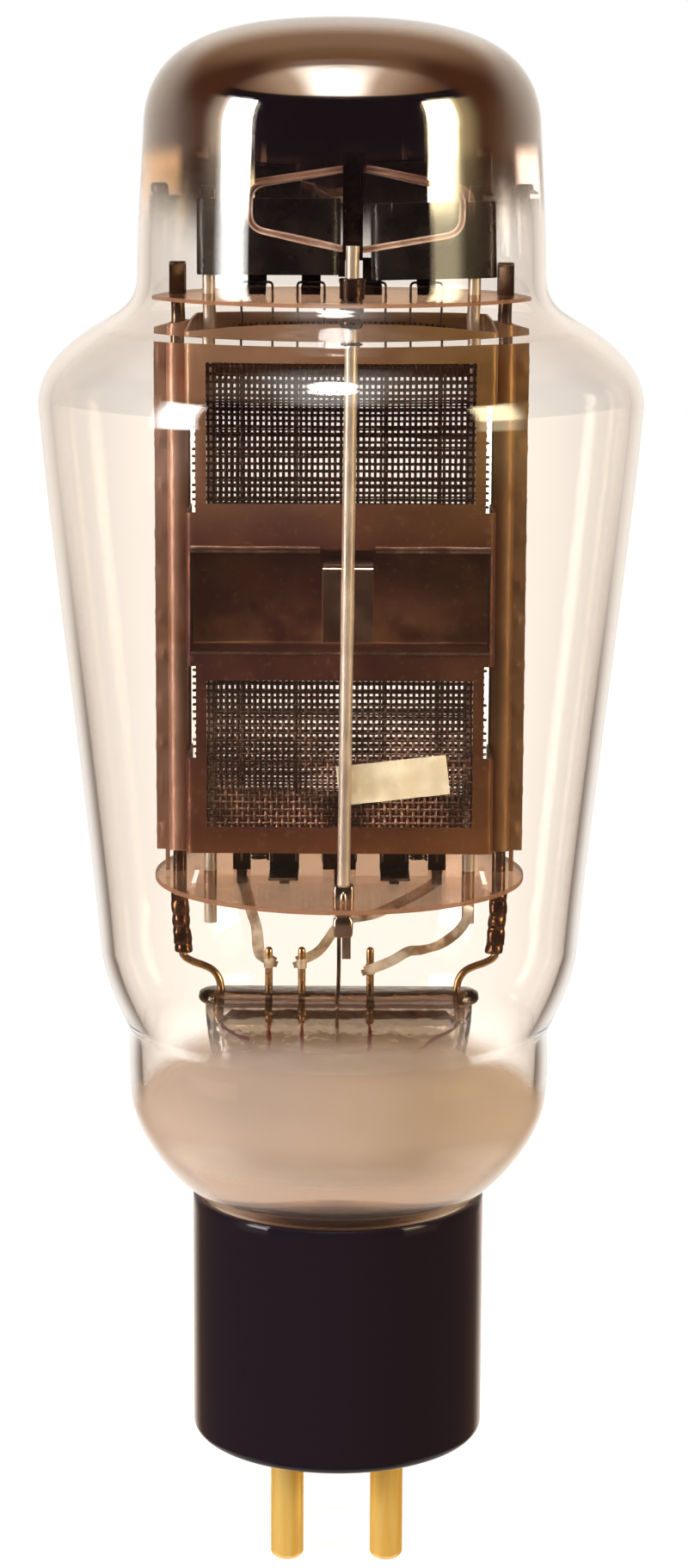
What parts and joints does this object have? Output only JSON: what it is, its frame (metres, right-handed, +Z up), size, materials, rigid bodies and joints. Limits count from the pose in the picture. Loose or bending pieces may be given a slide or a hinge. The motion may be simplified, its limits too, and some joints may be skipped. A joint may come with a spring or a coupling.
{
  "type": "power triode tube",
  "caption": "Glass power triode with a domed, shouldered bulb, a flat anode with woven mesh windows between mica discs, and a dark cylindrical pin base.",
  "frame": {"origin": "centre of the base's bottom face, where it seats on a socket", "axes": "+Z up along the tube, -Y towards the front with the two thick pins and the tag, +X to the right seen from the front"},
  "size_m": [0.0694, 0.0694, 0.1816],
  "materials": {
    "glass": "clear, polished",
    "stem_glass": "clear, fire-polished",
    "base": "black gloss",
    "cement": "matt",
    "pin": "gold plated",
    "bayonet": "polished",
    "anode": "bronzed nickel, satin",
    "mesh": "dark nickel wire",
    "mica": "clear brown mica",
    "post": "oxidised nickel",
    "rod": "satin",
    "grid": "drawn wire",
    "fin": "black carbonised, satin",
    "filament": "coated wire",
    "bracket": "bronzed nickel",
    "fitting": "dark oxidised nickel",
    "getter": "bright nickel",
    "tag": "bright, blank",
    "lead": "drawn nickel, warm brown",
    "ribbon": "bright rolled nickel",
    "seal_wire": "dark red oxide"
  },
  "bodies": {
    "root": {"envelope": "glass", "stem": "stem_glass", "base_shell": "base", "base_cement": "cement", "filament_pin_left": "pin", "filament_pin_right": "pin", "grid_pin": "pin", "anode_pin": "pin", "bayonet_pin": "bayonet", "anode_front": "anode", "anode_back": "anode", "mesh_front_upper": "mesh", "mesh_front_lower": "mesh", "mesh_back_upper": "mesh", "mesh_back_lower": "mesh", "waist_bracket": "bracket", "mica_upper": "mica", "mica_lower": "mica", "post_left": "post", "post_right": "post", "post_cap_left": "fitting", "post_cap_right": "fitting", "post_sleeve_left": "fitting", "post_sleeve_right": "fitting", "grid_rod_left": "rod", "grid_rod_right": "rod", "grid_winding": "grid", "fin_left": "fin", "fin_right": "fin", "fin_clip_left": "fin", "fin_clip_right": "fin", "filament": "filament", "filament_hooks": "fitting", "filament_bars": "fitting", "filament_springs": "fitting", "getter_loop": "getter", "getter_holder": "fitting", "centre_rod": "rod", "rod_collar": "fitting", "rod_clamp": "rod", "tag": "tag", "support_lead_left": "lead", "support_lead_right": "lead", "filament_lead_left": "lead", "filament_lead_right": "lead", "grid_lead": "lead", "centre_wire": "lead", "filament_ribbon_left": "ribbon", "filament_ribbon_right": "ribbon", "grid_ribbon": "ribbon", "base_wires": "seal_wire"}
  },
  "joints": []
}
